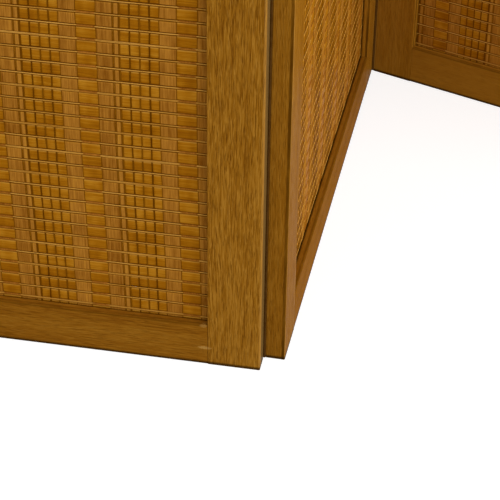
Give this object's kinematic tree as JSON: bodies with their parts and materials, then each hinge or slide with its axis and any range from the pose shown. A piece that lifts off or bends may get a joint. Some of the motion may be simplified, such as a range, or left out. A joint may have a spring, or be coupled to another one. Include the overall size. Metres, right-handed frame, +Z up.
{
  "type": "folding screen",
  "caption": "Free-standing folding screen of hinged wooden frames with woven slat and reed mats, set in a zig-zag and folding flat.",
  "frame": {"origin": "middle of the underside of the middle panel, which stands on the floor", "axes": "+Z up, +X along the middle panel from the left panel to the right one, -Y to the middle panel's front"},
  "size_m": [0.5577, 1.0171, 1.83],
  "materials": {
    "stile_wood": "satin amber varnish on open-pored hardwood",
    "rail_wood": "satin amber varnish on hardwood",
    "mat_slats": "semi-gloss flat reed with a fine grain along it",
    "mat_reeds": "satin round reed",
    "mat_front_warps": "dull upright plant fibre",
    "mat_threads": "dull dark thread",
    "mat_back_warps": "dull upright plant fibre",
    "hinge_brass": "aged satin brass",
    "pin_steel": "browned steel, dull and dark"
  },
  "bodies": {
    "middle_panel": {"middle_panel_left_stile": "stile_wood", "middle_panel_right_stile": "stile_wood", "middle_panel_bottom_rail": "rail_wood", "middle_panel_top_rail": "rail_wood", "middle_mat_slats": "mat_slats", "middle_mat_reeds": "mat_reeds", "middle_mat_front_warps": "mat_front_warps", "middle_mat_threads": "mat_threads", "middle_mat_back_warps": "mat_back_warps", "left_low_hinge_inner_leaf": "hinge_brass", "left_mid_hinge_inner_leaf": "hinge_brass", "left_high_hinge_inner_leaf": "hinge_brass", "left_hinge_pin": "pin_steel", "right_low_hinge_inner_leaf": "hinge_brass", "right_mid_hinge_inner_leaf": "hinge_brass", "right_high_hinge_inner_leaf": "hinge_brass", "right_hinge_pin": "pin_steel", "middle_panel_hinge_screws": "hinge_brass"},
    "left_panel": {"left_panel_left_stile": "stile_wood", "left_panel_right_stile": "stile_wood", "left_panel_bottom_rail": "rail_wood", "left_panel_top_rail": "rail_wood", "left_mat_slats": "mat_slats", "left_mat_reeds": "mat_reeds", "left_mat_front_warps": "mat_front_warps", "left_mat_threads": "mat_threads", "left_mat_back_warps": "mat_back_warps", "left_low_hinge_outer_leaf": "hinge_brass", "left_mid_hinge_outer_leaf": "hinge_brass", "left_high_hinge_outer_leaf": "hinge_brass", "left_panel_hinge_screws": "hinge_brass"},
    "right_panel": {"right_panel_left_stile": "stile_wood", "right_panel_right_stile": "stile_wood", "right_panel_bottom_rail": "rail_wood", "right_panel_top_rail": "rail_wood", "right_mat_slats": "mat_slats", "right_mat_reeds": "mat_reeds", "right_mat_front_warps": "mat_front_warps", "right_mat_threads": "mat_threads", "right_mat_back_warps": "mat_back_warps", "right_low_hinge_outer_leaf": "hinge_brass", "right_mid_hinge_outer_leaf": "hinge_brass", "right_high_hinge_outer_leaf": "hinge_brass", "right_panel_hinge_screws": "hinge_brass"}
  },
  "joints": [
    {"name": "left_fold", "type": "hinge", "parent": "middle_panel", "child": "left_panel", "pos_m": [-0.2557, 0.0092, 0], "axis": [0, 0, 1], "range_deg": [-91.4, 88.6]},
    {"name": "right_fold", "type": "hinge", "parent": "middle_panel", "child": "right_panel", "pos_m": [0.2557, -0.0092, 0], "axis": [0, 0, 1], "range_deg": [-70.95, 109.05]}
  ]
}
